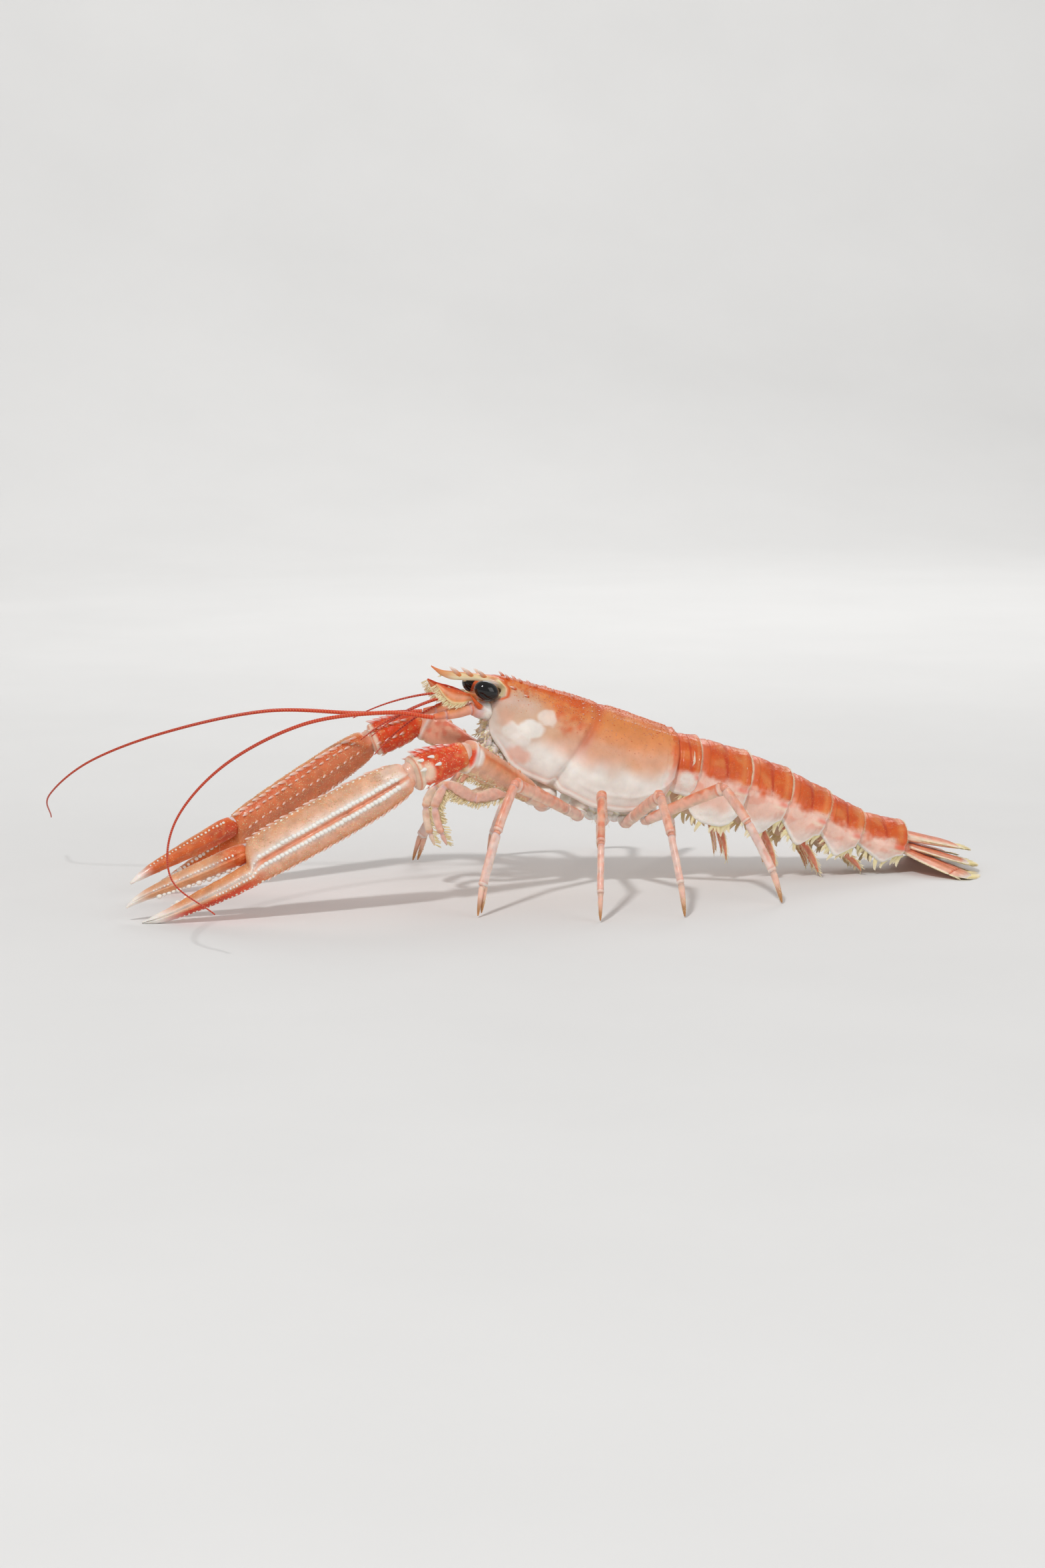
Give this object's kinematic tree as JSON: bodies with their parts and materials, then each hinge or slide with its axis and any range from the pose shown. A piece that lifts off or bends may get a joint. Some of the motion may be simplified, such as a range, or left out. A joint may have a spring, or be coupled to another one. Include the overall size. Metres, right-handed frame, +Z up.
{
  "type": "norway lobster",
  "caption": "Life-size Norway lobster standing on its walking legs, long spiny claws held forward, jointed tail with fan, long feelers.",
  "frame": {"origin": "centre of the bounding box, on the floor the animal stands on", "axes": "the animal faces -X, its left side is towards -Y, +Z is up"},
  "size_m": [0.3474, 0.2055, 0.0864],
  "materials": {
    "shell_orange": "wet shell, warm orange",
    "claw_orange": "wet shell, red-orange to beige",
    "claw_beige": "wet shell, beige to orange",
    "leg_pink": "wet shell, coral pink",
    "mouth_cream": "thin wet shell, cream",
    "feeler_red": "ringed red feeler",
    "fin_rose": "thin translucent rosy shell",
    "eye_black": "black and glossy"
  },
  "bodies": {
    "root": {"antenna_base_left": "leg_pink", "antenna_base_right": "leg_pink", "antenna_lash_root_left": "feeler_red", "antenna_lash_root_right": "feeler_red", "antenna_lash_tip_left": "feeler_red", "antenna_lash_tip_right": "feeler_red", "antenna_scale_left": "shell_orange", "antenna_scale_right": "shell_orange", "antennule_left": "feeler_red", "antennule_right": "feeler_red", "carapace": "shell_orange", "cheliped_carpus_left": "claw_orange", "cheliped_carpus_right": "claw_orange", "cheliped_finger_left": "claw_beige", "cheliped_finger_right": "claw_beige", "cheliped_merus_left": "claw_beige", "cheliped_merus_right": "claw_beige", "cheliped_palm_left": "claw_orange", "cheliped_palm_right": "claw_orange", "eye_left": "eye_black", "eye_right": "eye_black", "fan_endopod_left": "fin_rose", "fan_endopod_right": "fin_rose", "fan_exopod_left": "fin_rose", "fan_exopod_right": "fin_rose", "leg_2_lower_left": "leg_pink", "leg_2_lower_right": "leg_pink", "leg_2_upper_left": "leg_pink", "leg_2_upper_right": "leg_pink", "leg_3_lower_left": "leg_pink", "leg_3_lower_right": "leg_pink", "leg_3_upper_left": "leg_pink", "leg_3_upper_right": "leg_pink", "leg_4_lower_left": "leg_pink", "leg_4_lower_right": "leg_pink", "leg_4_upper_left": "leg_pink", "leg_4_upper_right": "leg_pink", "leg_5_lower_left": "leg_pink", "leg_5_lower_right": "leg_pink", "leg_5_upper_left": "leg_pink", "leg_5_upper_right": "leg_pink", "maxilliped_left": "mouth_cream", "maxilliped_right": "mouth_cream", "pleopod_2_left": "fin_rose", "pleopod_2_right": "fin_rose", "pleopod_3_left": "fin_rose", "pleopod_3_right": "fin_rose", "pleopod_4_left": "fin_rose", "pleopod_4_right": "fin_rose", "pleopod_5_left": "fin_rose", "pleopod_5_right": "fin_rose", "tail_somite_1": "shell_orange", "tail_somite_2": "shell_orange", "tail_somite_3": "shell_orange", "tail_somite_4": "shell_orange", "tail_somite_5": "shell_orange", "tail_somite_6": "shell_orange", "telson": "fin_rose", "thorax": "mouth_cream"}
  },
  "joints": []
}
